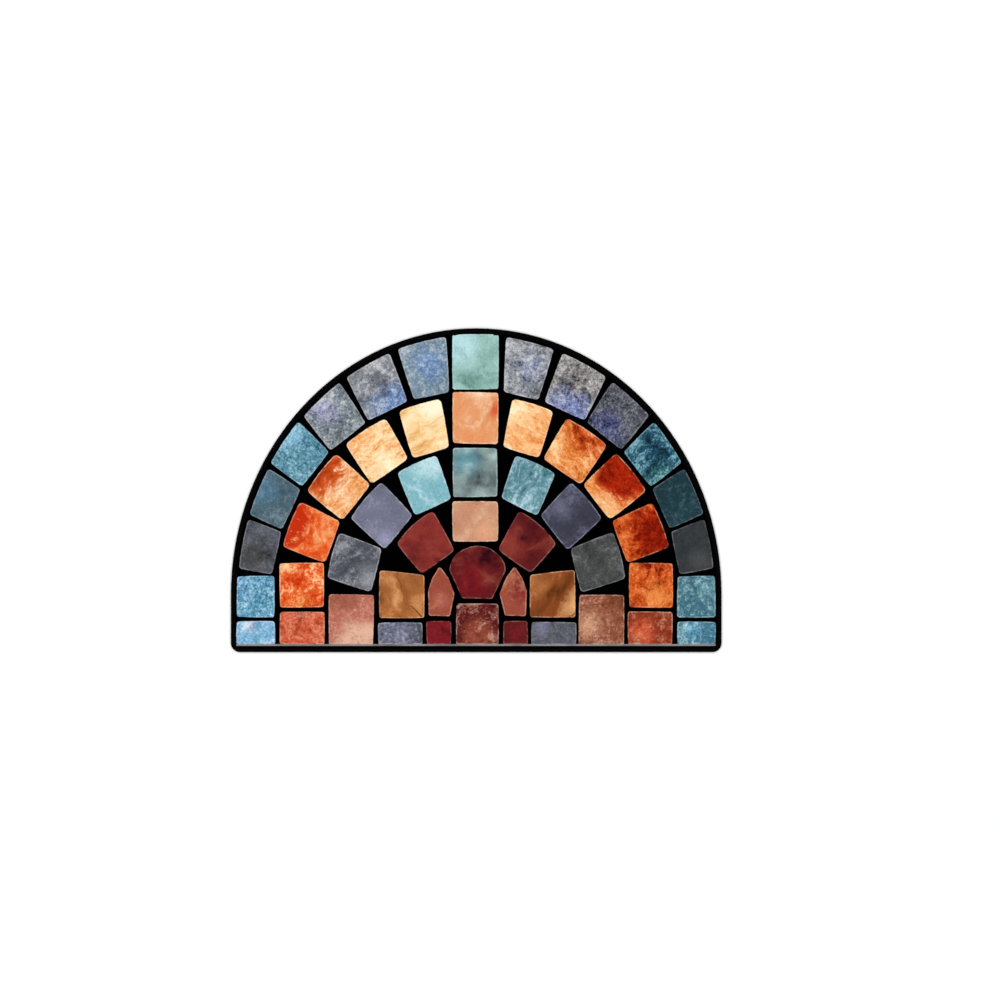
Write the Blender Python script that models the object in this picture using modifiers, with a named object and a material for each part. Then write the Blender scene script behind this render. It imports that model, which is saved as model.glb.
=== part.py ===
"""Half-round doormat: a black rubber backing sheet with a plain rim, and a printed pile face on it.

Units are metres and +Z is up. The mat lies flat, with its straight foot towards -Y and its arch
towards +Y. The origin is on the underside, at the middle of the mat's width and depth.
"""

from math import cos, pi, sin

import bmesh
import bpy

# Driving sizes of the outline
WIDTH = 0.600                # across the straight foot, along X
SIDE_HEIGHT = 0.070          # of the upright sides, from the foot to where the arch springs
ARCH_RISE = 0.326            # from the springing line up to the crown, along Y
FOOT_CORNER = 0.011          # radius of the two corners at the foot

# Driving sizes of the layers
RUBBER_THICKNESS = 0.0018    # the moulded backing sheet
PILE_THICKNESS = 0.0039      # the face cloth with its short pile
SEAT_GAP = 0.0003            # between the backing and the face that lies on it
RIM_WIDTH = 0.0065           # bare rubber left all round the face

# Roundings
RUBBER_EDGE = 0.0005         # soft edges of the moulded sheet
PILE_EDGE = 0.0010           # the pile's rounded shoulder
EDGE_STEPS = 3               # flats across each rounding
SHARP_ANGLE = pi / 6         # edges sharper than this are rounded
CORNER_STEPS = 8             # flats round each corner at the foot
ARCH_STEPS = 72              # flats over the arch

DEPTH = SIDE_HEIGHT + ARCH_RISE
FOOT_Y = -DEPTH / 2
SPRING_Y = FOOT_Y + SIDE_HEIGHT
WELD_DISTANCE = 0.00001


def arc_points(centre_x, centre_y, radius_x, radius_y, start, end, steps):
    """Points along an elliptic arc, both ends included; the angles are in radians."""
    points = []
    for step in range(steps + 1):
        angle = start + (end - start) * step / steps
        points.append((centre_x + radius_x * cos(angle), centre_y + radius_y * sin(angle)))
    return points


def half_round_outline(inset):
    """The mat's outline drawn in by inset: the foot, two corners, upright sides and the arch."""
    half_width = WIDTH / 2 - inset
    foot_y = FOOT_Y + inset
    corner = FOOT_CORNER - inset
    corner_y = foot_y + corner
    right = arc_points(half_width - corner, corner_y, corner, corner, -pi / 2, 0, CORNER_STEPS)
    arch = arc_points(0, SPRING_Y, half_width, ARCH_RISE - inset, 0, pi, ARCH_STEPS)
    left = arc_points(corner - half_width, corner_y, corner, corner, pi, 3 * pi / 2, CORNER_STEPS)
    return right + arch + left


def sheet_solid(name, inset, thickness, bottom_z):
    """A flat sheet of the half-round outline, as one closed mesh."""
    outline = half_round_outline(inset)
    curve = bpy.data.curves.new(name + "_outline", "CURVE")
    curve.dimensions = "2D"
    curve.fill_mode = "BOTH"
    curve.extrude = thickness / 2
    spline = curve.splines.new("POLY")
    spline.points.add(len(outline) - 1)
    for point, (x, y) in zip(spline.points, outline):
        point.co = (x, y, 0, 1)
    spline.use_cyclic_u = True

    flat = bpy.data.objects.new(name + "_outline", curve)
    bpy.context.scene.collection.objects.link(flat)
    bpy.context.view_layer.update()
    evaluated = flat.evaluated_get(bpy.context.evaluated_depsgraph_get())
    mesh = bpy.data.meshes.new_from_object(evaluated)
    mesh.name = name
    bpy.data.objects.remove(flat)
    bpy.data.curves.remove(curve)

    welded = bmesh.new()
    welded.from_mesh(mesh)
    bmesh.ops.remove_doubles(welded, verts=welded.verts, dist=WELD_DISTANCE)
    bmesh.ops.recalc_face_normals(welded, faces=welded.faces)
    welded.to_mesh(mesh)
    welded.free()

    solid = bpy.data.objects.new(name, mesh)
    solid.location = (0, 0, bottom_z + thickness / 2)
    return solid


def round_edges(solid, width):
    """Round the top and bottom edges of a sheet."""
    bevel = solid.modifiers.new("rounded edges", "BEVEL")
    bevel.width = width
    bevel.segments = EDGE_STEPS
    bevel.limit_method = "ANGLE"
    bevel.angle_limit = SHARP_ANGLE


def plain_material(name, colour, roughness):
    """A matt, non-metallic material of one colour."""
    material = bpy.data.materials.new(name)
    material.use_nodes = True
    shader = material.node_tree.nodes["Principled BSDF"]
    shader.inputs["Base Color"].default_value = (*colour, 1)
    shader.inputs["Roughness"].default_value = roughness
    shader.inputs["Metallic"].default_value = 0
    return material


def make_rubber_backing():
    """The moulded rubber sheet; the part of it that the face leaves bare is the rim."""
    backing = sheet_solid("rubber_backing", 0, RUBBER_THICKNESS, 0)
    round_edges(backing, RUBBER_EDGE)
    backing.data.materials.append(plain_material("black_rubber", (0.012, 0.012, 0.013), 0.6))
    return backing


def make_pile_face():
    """The printed face cloth with its short pile, laid on the backing inside the rim."""
    face = sheet_solid("pile_face", RIM_WIDTH, PILE_THICKNESS, RUBBER_THICKNESS + SEAT_GAP)
    round_edges(face, PILE_EDGE)
    face.data.materials.append(plain_material("printed_pile", (0.20, 0.13, 0.11), 0.9))
    return face


def main():
    for old in list(bpy.data.objects):
        bpy.data.objects.remove(old)
    mat = bpy.data.collections.new("half_round_doormat")
    bpy.context.scene.collection.children.link(mat)
    mat.objects.link(make_rubber_backing())
    mat.objects.link(make_pile_face())


main()
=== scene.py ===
"""Half-round doormat: a printed short-pile face, stone blocks laid in arches, on black rubber.

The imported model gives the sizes: a rubber backing with a plain rim, and the space of the face that
lies on it. Here the face becomes a cloth sheet with tufts of pile standing on it, and the print
of rounded stone blocks on black runs over the tufts by their place on the mat.
Lengths are in metres, +Z is up, the straight foot is towards -Y and the arch towards +Y.
"""

from collections import namedtuple
from math import asin, ceil, cos, hypot, pi, radians, sin, sqrt

import bmesh
import bpy
import numpy as np
from bpy.props import (
    CollectionProperty,
    FloatProperty,
    FloatVectorProperty,
    IntProperty,
    PointerProperty,
)
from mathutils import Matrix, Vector


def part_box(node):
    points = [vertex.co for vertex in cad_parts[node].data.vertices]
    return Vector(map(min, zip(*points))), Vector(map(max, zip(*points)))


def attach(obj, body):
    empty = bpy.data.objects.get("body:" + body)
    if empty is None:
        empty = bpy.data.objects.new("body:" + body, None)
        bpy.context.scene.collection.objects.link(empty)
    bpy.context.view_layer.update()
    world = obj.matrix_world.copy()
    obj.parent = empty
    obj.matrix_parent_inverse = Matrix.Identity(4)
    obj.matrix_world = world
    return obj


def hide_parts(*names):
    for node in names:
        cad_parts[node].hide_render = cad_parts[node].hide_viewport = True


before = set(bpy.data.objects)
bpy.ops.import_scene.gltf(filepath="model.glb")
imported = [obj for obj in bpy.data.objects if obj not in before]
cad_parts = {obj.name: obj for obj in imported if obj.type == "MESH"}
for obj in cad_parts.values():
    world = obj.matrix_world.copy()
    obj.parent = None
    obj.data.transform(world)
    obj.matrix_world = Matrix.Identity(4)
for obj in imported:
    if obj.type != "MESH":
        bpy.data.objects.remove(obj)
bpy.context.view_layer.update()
RUBBER_LOW, RUBBER_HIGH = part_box("rubber_backing")
FACE_LOW, FACE_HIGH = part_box("pile_face")

bl_info = {
    "name": "Half-Round Doormat",
    "version": (1, 0, 0),
    "blender": (4, 5, 0),
    "location": "3D View > Sidebar > Doormat",
    "description": "Dresses a half-round doormat with its rubber rim and printed pile",
    "category": "Object",
}

# The mat's outline: its upright sides and foot corners are given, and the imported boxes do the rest
SIDE_HEIGHT = 0.070                        # of the upright sides below the arch
HALF_WIDTH = RUBBER_HIGH.x
FOOT_Y = RUBBER_LOW.y
SPRING_Y = FOOT_Y + SIDE_HEIGHT            # where the arch springs from the sides
ARCH_RISE = RUBBER_HIGH.y - SPRING_Y
RIM_WIDTH = RUBBER_HIGH.x - FACE_HIGH.x    # bare rubber left round the face
FOOT_CORNER = 0.011                        # radius of the corners at the foot
CORNER_STEPS = 8                           # straight steps round such a corner
ARCH_STEPS = 96                            # straight steps over the arch

# The photograph's framing
PHOTO_SIDE = 1000                          # pixels
PHOTO_MAT_WIDTH = 490.7                    # pixels, across the foot
PHOTO_MAT_CENTRE = (476.2, 490.2)          # pixels, from the left and from the top
LENS = 150                                 # millimetres, long enough to look flat
SENSOR = 36                                # millimetres

RANDOM_SEED = 7


def display(red, green, blue):
    """A colour given as it looks on a screen, from 0 to 255, as scene-linear values."""
    shares = (channel / 255 for channel in (red, green, blue))
    return tuple(((s + 0.055) / 1.055) ** 2.4 if s > 0.04045 else s / 12.92 for s in shares)


# The dyes of the print, mixed to come near the blocks' colours as a whole
DYES = {
    "chalk": display(228, 236, 242),
    "ice": display(204, 228, 238),
    "mist": display(206, 232, 228),
    "mint": display(158, 196, 190),
    "sage": display(96, 138, 126),
    "pale_aqua": display(184, 220, 224),
    "pale_sea": display(176, 214, 226),
    "aqua": display(136, 190, 200),
    "sea": display(106, 152, 162),
    "deep_sea": display(52, 96, 108),
    "sea_green": display(60, 112, 112),
    "pewter_teal": display(142, 162, 160),
    "sky": display(130, 182, 216),
    "azure": display(98, 160, 190),
    "bright_lagoon": display(98, 150, 168),
    "lagoon": display(82, 134, 156),
    "dusk_blue": display(94, 132, 156),
    "teal": display(78, 122, 136),
    "deep_teal": display(44, 88, 110),
    "ink_teal": display(18, 42, 54),
    "steel": display(82, 104, 118),
    "petrol": display(36, 62, 68),
    "soft_petrol": display(40, 68, 74),
    "cornflower": display(104, 140, 190),
    "harebell": display(122, 152, 194),
    "harebell_grey": display(126, 148, 164),
    "heather": display(138, 146, 176),
    "iris": display(128, 140, 190),
    "indigo": display(84, 88, 134),
    "silver": display(206, 208, 212),
    "grey": display(144, 147, 153),
    "pebble": display(128, 139, 145),
    "slate": display(90, 92, 102),
    "graphite": display(55, 60, 63),
    "charcoal": display(30, 33, 35),
    "warm_grey": display(144, 138, 136),
    "lilac": display(166, 166, 198),
    "lilac_grey": display(120, 122, 144),
    "twilight": display(70, 70, 86),
    "ash": display(80, 81, 80),
    "cream": display(255, 242, 212),
    "honey": display(251, 216, 162),
    "apricot": display(246, 192, 132),
    "marigold": display(238, 164, 98),
    "ochre": display(222, 160, 86),
    "peach": display(232, 176, 138),
    "melon": display(228, 160, 112),
    "amber": display(228, 134, 62),
    "tangerine": display(230, 102, 44),
    "fire": display(212, 92, 36),
    "coral": display(212, 84, 52),
    "flame": display(196, 50, 18),
    "rust": display(168, 58, 18),
    "ember": display(120, 22, 8),
    "beige": display(204, 152, 120),
    "blush": display(224, 180, 156),
    "rose_clay": display(187, 113, 96),
    "clay": display(150, 88, 66),
    "terracotta": display(212, 100, 66),
    "burnt_clay": display(146, 60, 38),
    "tan": display(174, 108, 60),
    "bronze": display(146, 78, 40),
    "umber": display(98, 52, 22),
    "salmon": display(160, 82, 63),
    "brick": display(136, 50, 46),
    "maroon": display(104, 32, 33),
    "garnet": display(126, 30, 37),
    "black_cherry": display(50, 14, 20),
}

# How each kind of stone is printed. The first three dyes are its light, body and dark, and the
# fourth tints a patch. The tinted, darkened and paled patches are round: a centre, across and up the
# block, whose sides are at about -1 and 1, and a radius. A radius of 0 leaves the patch out. The
# grain is how strongly clouds, mottle and speckle show. The streak is the direction in degrees along
# which the clouds and mottle are drawn out, and how many times longer than wide. The last two are
# how strongly the dark veins and the pale line round the block show.
Finish = namedtuple(
    "Finish",
    "light body dark tint tinted darkened paled grain streak veins edge",
    defaults=((0, 0, 0), (0, 0, 0), (0, 0, 0), (0.5, 0.5, 0.5), (0, 1), 0, 0.5),
)
FINISHES = {
    # The outer ring and the haunches under it
    "sea_mint": Finish(
        "mist", "mint", "sage", "pale_aqua", (-0.6, 0.6, 0.6), (0.3, -1.0, 0.6), grain=(0.8, 0.3, 0.3)
    ),
    "harebell_cloud": Finish(
        "silver", "harebell_grey", "steel", "harebell", (0.1, 0.2, 0.45), paled=(-0.9, 0.8, 0.3),
        grain=(0.6, 0.8, 1.0),
    ),
    "storm_edge": Finish(
        "silver", "grey", "slate", "cornflower", (0.8, -0.8, 0.9), (-0.1, 0.25, 0.2), (-0.3, 0.9, 0.3),
        grain=(0.7, 1.2, 1.0),
    ),
    "lichen_grey": Finish(
        "silver", "pebble", "graphite", "lilac", (-0.3, 0.3, 0.25), paled=(-0.4, 0.5, 0.1),
        grain=(0.6, 1.1, 0.9),
    ),
    "lagoon_chalk": Finish(
        "pale_sea", "bright_lagoon", "deep_teal", "sky", (-0.4, 0.8, 0.4), paled=(-0.4, 0.7, 0.3),
        grain=(0.5, 0.9, 1.2), streak=(-35, 1.8),
    ),
    "steel_blue": Finish(
        "pewter_teal", "steel", "petrol", "dusk_blue", (-0.5, 0.4, 0.4), grain=(0.6, 0.6, 0.5)
    ),
    "graphite_soft": Finish(
        "grey", "slate", "charcoal", "ash", (-0.2, -0.3, 0.5), (0.3, -0.2, 0.2), grain=(0.5, 0.3, 0.5)
    ),
    "granite": Finish(
        "silver", "grey", "graphite", "heather", (0.2, 0.1, 0.35), paled=(-0.8, 0.9, 0.3),
        grain=(0.8, 1.0, 1.0),
    ),
    "granite_iris": Finish(
        "silver", "warm_grey", "graphite", "iris", (-0.3, -1.0, 0.8), (0.0, 0.2, 0.2), (-0.2, 0.9, 0.3),
        grain=(0.7, 1.1, 1.1),
    ),
    "night_iris": Finish(
        "grey", "slate", "charcoal", "indigo", (-0.3, -0.3, 0.4), paled=(0.5, 0.7, 0.1),
        grain=(0.6, 0.8, 1.4),
    ),
    "deep_lagoon": Finish(
        "aqua", "deep_teal", "ink_teal", "sea_green", (0.4, -0.8, 0.5), (0.2, 0.1, 0.4), (-0.5, 0.4, 0.1),
        grain=(0.5, 1.3, 1.1), streak=(52, 2.6),
    ),
    "petrol_soft": Finish(
        "steel", "petrol", "ink_teal", "soft_petrol", (0.2, -0.4, 0.5), grain=(0.4, 0.6, 0.6)
    ),
    "graphite_green": Finish(
        "ash", "graphite", "charcoal", "ash", (0.3, -0.5, 0.3), grain=(0.5, 0.3, 0.4), edge=0.7
    ),
    "sky_chalk": Finish("ice", "azure", "deep_teal", "sky", (-0.8, 0.8, 0.5), grain=(0.5, 0.8, 1.2)),
    "teal_chalk": Finish(
        "pale_aqua", "teal", "deep_teal", "sea", (0.6, 0.4, 0.3), grain=(0.4, 0.8, 0.8)
    ),
    "ice_chalk": Finish(
        "chalk", "sky", "lagoon", "lilac", (-0.4, 0.4, 0.2), paled=(-0.6, 0.5, 0.2), grain=(0.6, 0.9, 0.9)
    ),
    "dusk_chalk": Finish(
        "pale_aqua", "lagoon", "deep_teal", "azure", (-0.3, 0.2, 0.3), paled=(-0.6, 0.4, 0.1),
        grain=(0.6, 1.0, 0.8),
    ),
    # The second ring
    "peach_stone": Finish(
        "cream", "melon", "amber", "coral", (0.85, 0.35, 0.2), paled=(0.2, 1.3, 0.5),
        grain=(0.6, 0.5, 0.2), streak=(70, 1.6),
    ),
    "honey_vein": Finish(
        "cream", "honey", "ochre", "cream", (0.3, 0.9, 0.5), (-0.2, -0.6, 0.1), (0.2, 0.9, 0.3),
        grain=(0.8, 0.9, 0.4), streak=(25, 2.6), veins=0.4,
    ),
    "honey_amber": Finish(
        "cream", "honey", "amber", "apricot", (-0.8, 0.2, 0.6), (-0.9, 0.2, 0.3), (0.4, -0.5, 0.15),
        grain=(0.8, 1.2, 0.7), streak=(25, 2.6), veins=0.3,
    ),
    "apricot_vein": Finish(
        "cream", "apricot", "amber", "honey", (-0.4, 0.8, 0.5), (0.4, -0.1, 0.05), (-0.6, 0.9, 0.4),
        grain=(0.8, 1.2, 0.6), streak=(-30, 2.4), veins=0.3,
    ),
    "sunset": Finish(
        "cream", "marigold", "rust", "fire", (-0.6, 0.6, 0.8), (-0.5, 0.8, 0.5), (0.1, -0.2, 0.15),
        grain=(0.7, 0.9, 0.5), streak=(40, 2.4),
    ),
    "amber_rust": Finish(
        "honey", "amber", "ember", "fire", (0.6, 0.5, 0.6), (0.8, 0.6, 0.2), (-0.7, 0.2, 0.35),
        grain=(0.7, 1.2, 0.5), streak=(-52, 2.4),
    ),
    "sunset_deep": Finish(
        "honey", "amber", "ember", "flame", (0.5, 0.5, 0.95), (0.5, 0.7, 0.95), (-0.4, -0.7, 0.5),
        grain=(0.4, 0.8, 0.5), streak=(-50, 2.2),
    ),
    "ember_left": Finish(
        "apricot", "tangerine", "flame", "flame", (-1.2, 0.5, 1.1), (-1.4, 0.5, 0.8), (0.7, 0.3, 0.3),
        grain=(0.7, 0.9, 0.3),
    ),
    "ember_right": Finish(
        "marigold", "fire", "ember", "flame", (0.9, 0.1, 1.0), (1.1, 0.1, 1.3), (-0.3, 0.7, 0.1),
        grain=(0.7, 1.0, 0.6),
    ),
    "orange_mottle": Finish(
        "honey", "tangerine", "flame", "amber", (0.0, -1.0, 0.4), paled=(-0.8, 0.9, 0.2),
        grain=(1.0, 1.3, 0.7),
    ),
    "orange_burnt": Finish(
        "marigold", "fire", "ember", "amber", (0.3, -0.5, 0.4), (-0.3, 0.9, 0.2), grain=(1.0, 1.1, 0.7)
    ),
    "terracotta": Finish(
        "blush", "terracotta", "ember", "rose_clay", (0.0, 0.9, 0.2), grain=(0.5, 0.8, 0.7)
    ),
    "terracotta_deep": Finish(
        "peach", "burnt_clay", "ember", "terracotta", (-0.4, -0.2, 0.5), grain=(0.5, 0.7, 0.5)
    ),
    # The third ring and the pillars
    "misty_teal": Finish(
        "mist", "pewter_teal", "graphite", "sea", (-0.4, 0.5, 0.5), (0.1, -0.4, 0.1), grain=(0.8, 0.1, 0.1)
    ),
    "aqua_chalk": Finish(
        "chalk", "aqua", "sea", "pale_aqua", (0.0, 0.9, 0.5), paled=(0.4, 0.6, 0.1),
        grain=(0.6, 0.5, 0.5), streak=(-60, 2.6),
    ),
    "aqua_mottle": Finish(
        "ice", "sea", "deep_sea", "aqua", (-0.2, -0.9, 0.2), paled=(0.1, -0.4, 0.05),
        grain=(0.5, 1.1, 0.6), streak=(60, 2),
    ),
    "lilac_stone": Finish(
        "silver", "lilac_grey", "graphite", "lilac", (0.1, -0.7, 0.1), grain=(0.4, 0.1, 0.25)
    ),
    "twilight_stone": Finish(
        "lilac", "twilight", "charcoal", "lilac_grey", (-0.3, 0.3, 0.1), grain=(0.5, 0.1, 0.25)
    ),
    "slate_stone": Finish(
        "silver", "slate", "charcoal", "grey", (0.5, -0.6, 0.3), grain=(0.5, 0.5, 0.4), streak=(30, 1.8)
    ),
    "ash_stone": Finish("grey", "ash", "charcoal", "ash", grain=(0.6, 0.5, 0.4)),
    "clay_fade": Finish(
        "blush", "rose_clay", "clay", "blush", (0.2, -0.8, 0.7), (-0.2, 1.0, 0.7), (0.6, -0.3, 0.1),
        grain=(0.4, 0.5, 0.7),
    ),
    "clay_dark": Finish(
        "blush", "clay", "umber", "beige", (-0.5, -0.2, 0.4), (0.8, 0.7, 0.6), grain=(0.4, 0.6, 0.7)
    ),
    # The fourth ring and the middle
    "beige_stone": Finish("cream", "beige", "salmon", "peach", (0.5, -0.5, 0.3), grain=(0.5, 0.1, 0.1)),
    "brick_stone": Finish(
        "salmon", "brick", "black_cherry", "brick", darkened=(0.7, -0.5, 0.15), grain=(0.9, 0.3, 0.1)
    ),
    "brick_shadow": Finish(
        "salmon", "maroon", "black_cherry", "brick", (-0.6, 0.0, 0.5), (0.1, 0.2, 0.15), grain=(0.8, 0.3, 0.1)
    ),
    "tan_fold": Finish(
        "apricot", "tan", "umber", "tan", darkened=(-0.4, 0.2, 0.25),
        grain=(1.3, 0.2, 0.2), streak=(110, 2.6), veins=1.0,
    ),
    "bronze_fold": Finish(
        "apricot", "bronze", "umber", "tan", (-0.6, 0.5, 0.4), (0.2, 0.2, 0.15),
        grain=(1.2, 0.2, 0.2), streak=(70, 2.6), veins=0.8,
    ),
    "grey_chalk": Finish(
        "silver", "slate", "charcoal", "lilac_grey", (-0.2, 0.0, 0.9), grain=(0.5, 0.4, 0.8)
    ),
    "grey_dusk": Finish(
        "grey", "slate", "charcoal", "lilac_grey", (-0.7, 0.3, 0.4), grain=(0.5, 0.4, 0.6)
    ),
    "wine_dome": Finish(
        "salmon", "maroon", "black_cherry", "garnet", (-0.2, -0.7, 0.5), (0.4, 0.1, 0.15),
        grain=(0.9, 0.35, 0.1),
    ),
    "salmon_stone": Finish(
        "peach", "salmon", "brick", "rose_clay", (0.0, -0.5, 0.2), grain=(0.4, 0.3, 0.1)
    ),
    "salmon_shade": Finish("peach", "salmon", "brick", "brick", (0.3, 0.2, 0.5), grain=(0.5, 0.3, 0.1)),
    "garnet_stone": Finish(
        "brick", "garnet", "black_cherry", "garnet", darkened=(0.4, 0.4, 0.1), grain=(0.7, 0.4, 0.3)
    ),
    "garnet_shade": Finish(
        "brick", "maroon", "black_cherry", "garnet", (0.0, 0.0, 0.2), grain=(0.6, 0.4, 0.3)
    ),
    "rose_quartz": Finish(
        "blush", "maroon", "black_cherry", "salmon", (0.0, -0.4, 0.5), paled=(0.7, -0.6, 0.1),
        grain=(0.6, 0.9, 0.5), streak=(35, 2.2),
    ),
}

# The rings of wedge-shaped blocks, evenly spaced and the same on both sides of the crown. Angles are
# in degrees from the crown, radii from the middle of the springing line, and an outer radius of None
# follows the mat's own arch. The growth is how much larger both radii get from one block to the
# next. Widths are given at the inner and the outer end, with how much narrower the first block is
# there. A lean lets a block's inner end hang lower, and a slant brings the inner side's end at the
# crown nearer to the middle. The finishes are those of the left and the right block.
BLOCK_MARGIN = 0.0075                      # from the mat's arch to the outermost blocks
Ring = namedtuple(
    "Ring",
    "name first step inner outer widths lean corner finishes growth narrower slant",
    defaults=((0, 0), (0, 0), 0),
)
RINGS = (
    Ring(
        "outer", first=12.4, step=13.1, inner=0.2500, outer=None, widths=(0.0550, 0.0620),
        narrower=(0.0100, 0), lean=0.3, corner=0.0035,
        finishes=(
            ("harebell_cloud", "granite"),
            ("storm_edge", "granite_iris"),
            ("lichen_grey", "night_iris"),
            ("lagoon_chalk", "deep_lagoon"),
            ("steel_blue", "petrol_soft"),
            ("graphite_soft", "graphite_green"),
        ),
    ),
    Ring(
        "second", first=17.0, step=17.5, inner=0.1835, outer=0.2445, widths=(0.0560, 0.0600),
        growth=(0.0015, 0), narrower=(0.0080, 0.0060), lean=0.4, corner=0.0050,
        finishes=(
            ("honey_vein", "apricot_vein"),
            ("honey_amber", "amber_rust"),
            ("sunset", "sunset_deep"),
            ("ember_left", "ember_right"),
        ),
    ),
    Ring(
        "third", first=25.3, step=25.0, inner=0.1215, outer=0.1785, widths=(0.0560, 0.0590),
        growth=(0.0030, 0.0030), narrower=(0.0060, 0.0050), lean=0.9, corner=0.0045,
        finishes=(
            ("aqua_chalk", "aqua_mottle"),
            ("lilac_stone", "twilight_stone"),
            ("slate_stone", "ash_stone"),
        ),
    ),
    Ring(
        "fourth", first=44.5, step=0, inner=0.0660, outer=0.1175, widths=(0.0500, 0.0620),
        lean=2.5, slant=0.0060, corner=0.0050,
        finishes=(
            ("brick_stone", "brick_shadow"),
        ),
    ),
)

# The crown blocks of the rings: their half width, and their heights above the springing line. A top
# of None reaches the mat's own arch.
CROWN_SHIFT = -0.0010                      # how far right of the middle line they are printed
CrownBlock = namedtuple("CrownBlock", "name half_width bottom top finish")
CROWN_BLOCKS = (
    CrownBlock("outer_crown", 0.0285, 0.2510, None, "sea_mint"),
    CrownBlock("second_crown", 0.0285, 0.1845, 0.2480, "peach_stone"),
    CrownBlock("third_crown", 0.0275, 0.1195, 0.1800, "misty_teal"),
    CrownBlock("fourth_crown", 0.0285, 0.0650, 0.1150, "beige_stone"),
)

# The straight blocks of the foot: their sides from the middle line and their heights above the
# springing line, and how much lower the top is at its inner end. A bottom of None rests on the pale
# line along the foot.
FootBlock = namedtuple("FootBlock", "name inner outer bottom top fall left right")
FOOT_BLOCKS = (
    FootBlock("haunch", 0.2455, 0.2925, -0.0275, 0.0235, 0, "sky_chalk", "teal_chalk"),
    FootBlock("haunch_foot", 0.2455, 0.2930, None, -0.0320, 0, "ice_chalk", "dusk_chalk"),
    FootBlock("second_haunch", 0.1860, 0.2405, -0.0160, 0.0395, 0, "orange_mottle", "orange_burnt"),
    FootBlock("second_foot", 0.1850, 0.2400, None, -0.0200, 0, "terracotta", "terracotta_deep"),
    FootBlock("pillar", 0.1250, 0.1810, None, 0.0010, 0, "clay_fade", "clay_dark"),
)

# Those of the middle, which is printed a little to the right
MIDDLE_SHIFT = 0.0013
MIDDLE_FOOT_BLOCKS = (
    FootBlock("shelf", 0.0645, 0.1200, -0.0285, 0.0315, 0.0060, "tan_fold", "bronze_fold"),
    FootBlock("shelf_foot", 0.0660, 0.1215, None, -0.0330, 0, "grey_chalk", "grey_dusk"),
    FootBlock("lancet_foot", 0.0315, 0.0625, None, -0.0310, 0, "garnet_stone", "garnet_shade"),
)
MIDDLE_FOOT_HALF_WIDTH = 0.0260
MIDDLE_FOOT_TOP = -0.0105

# The domed block at the middle and the pointed ones beside it: places from the middle line and
# above the springing line
DOME_FOOT = (0.0190, -0.0050)              # half width and height of its flat foot
DOME_HALF_WIDTH = 0.0350
DOME_SHOULDER = 0.0300                     # height where the round top starts
DOME_RISE = 0.0305                         # of the round top above that
DOME_STEPS = 12
LANCET = (
    (0.0335, -0.0260),                     # the flat foot's inner and outer ends
    (0.0600, -0.0260),
    (0.0610, 0.0060),                      # where the outer side starts to lean in
    (0.0560, 0.0205),
    (0.0460, 0.0365),                      # the tip
    (0.0340, 0.0205),
    (0.0265, 0.0010),                      # the inner side's elbow, under the dome
)

FOOT_LINE_LOW = 0.0078                     # the pale line along the foot, above the mat's edge
FOOT_LINE_HIGH = 0.0099
FOOT_LINE_HALF_LENGTH = 0.2930
BOW_STEPS = 6                              # straight steps along a bowed side of a block
SIDE_BOW = 0.0004                          # how far a block's side swells
EVEN_BOWS = (SIDE_BOW,) * 4                # of a block whose four sides swell alike
RING_BOW = 0.7                             # share of its arc that a ring block's outer side follows
INK_SHORT = 0.0006                         # how far the print stops short of a block's outline
LANCET_CORNER = 0.0022                     # rounding of the dome and the pointed blocks

# The pile and its cloth
TUFT_SIDES = 4
TUFT_SWELL = 0.5                           # how much a tuft is swollen half-way up, as a share
TUFT_OVERHANG = 0.0014                     # how far off a block a tuft may stand and still be its own
TUFT_SUNK = 0.00015                        # how deep a tuft's foot sits in the cloth
TUFT_SIZE_CHANGE = 0.12                    # how much a tuft's size may differ, as a share
NEARBY = 3                                 # times a block's reach, within which its tufts are looked for
SEED_STEP = 10                             # between the seeds of two pieces of pile
FACE_INSET = 0.0010                        # from the cloth's edge to the outermost tufts
CLOTH_EDGE = 0.0009                        # rounding of the cloth's edges
CLOTH_EDGE_STEPS = 3

# The noises of the print and the rubber: about how wide their blobs are, in metres, then their
# detail and roughness. The strands and the mould's grain are scaled by their group first.
CLOUDS = (0.026, 2, 0.5)
MOTTLE = (0.0085, 5, 0.70)
SPECKLE = (0.0030, 3, 0.80)
SWIRL = (0.030, 2, 0.5)                    # bends the clouds, the mottle and the veins
VEINS = (0.040, 0, 0.4)
EDGE_WEAR = (0.009, 2, 0.6)                # of the pale line round a block
OUTLINE_WOBBLE = (0.006, 2, 0.5)           # of a block's printed outline
FOOT_LINE_WEAR = (0.030, 2, 0.5)
STRANDS = (1.0, 2, 0.6)
MOULD_GRAIN = (1.0, 2, 0.5)
RUBBER_CLOUDS = (0.02, 2, 0.5)

# How the noises are used. A stone's tone goes from -1, its dark, to 1, its light. A fade runs
# between two values, and a worn line is gone below the first noise value and whole above the second.
SWIRL_BEND = 0.03                          # metres for each unit of the swirl
CLOUD_TONE = 0.7                           # times how strongly the finish shows them
SPECKLE_TONE = 0.95
TONE_SET_BACK = 0.05                       # how much darker every stone is set
PATCH_DARKER = 0.55
PATCH_PALER = 0.6
PATCH_CLOUDS = 0.3                         # how far the clouds and the mottle fray a patch's edge
PATCH_MOTTLE = 0.2
PATCH_FADE = (-0.3, 0.4)                   # past the patch's radius
VEIN_HALF_WIDTH = 0.025                    # on both sides of the middle value of the veins' noise
VEIN_CLOUDS = (-0.5, 0.5)                  # the clouds in which veins are gone, and whole
EDGE_FADE = (0.4, 1.5)                     # in widths of the pale line, from the block's outline in
EDGE_WORN = (0.35, 0.65)
EDGE_WHITER = 0.2                          # how far the pale line goes from the light dye to white
OUTLINE_WANDER = 0.00030                   # metres
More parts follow.
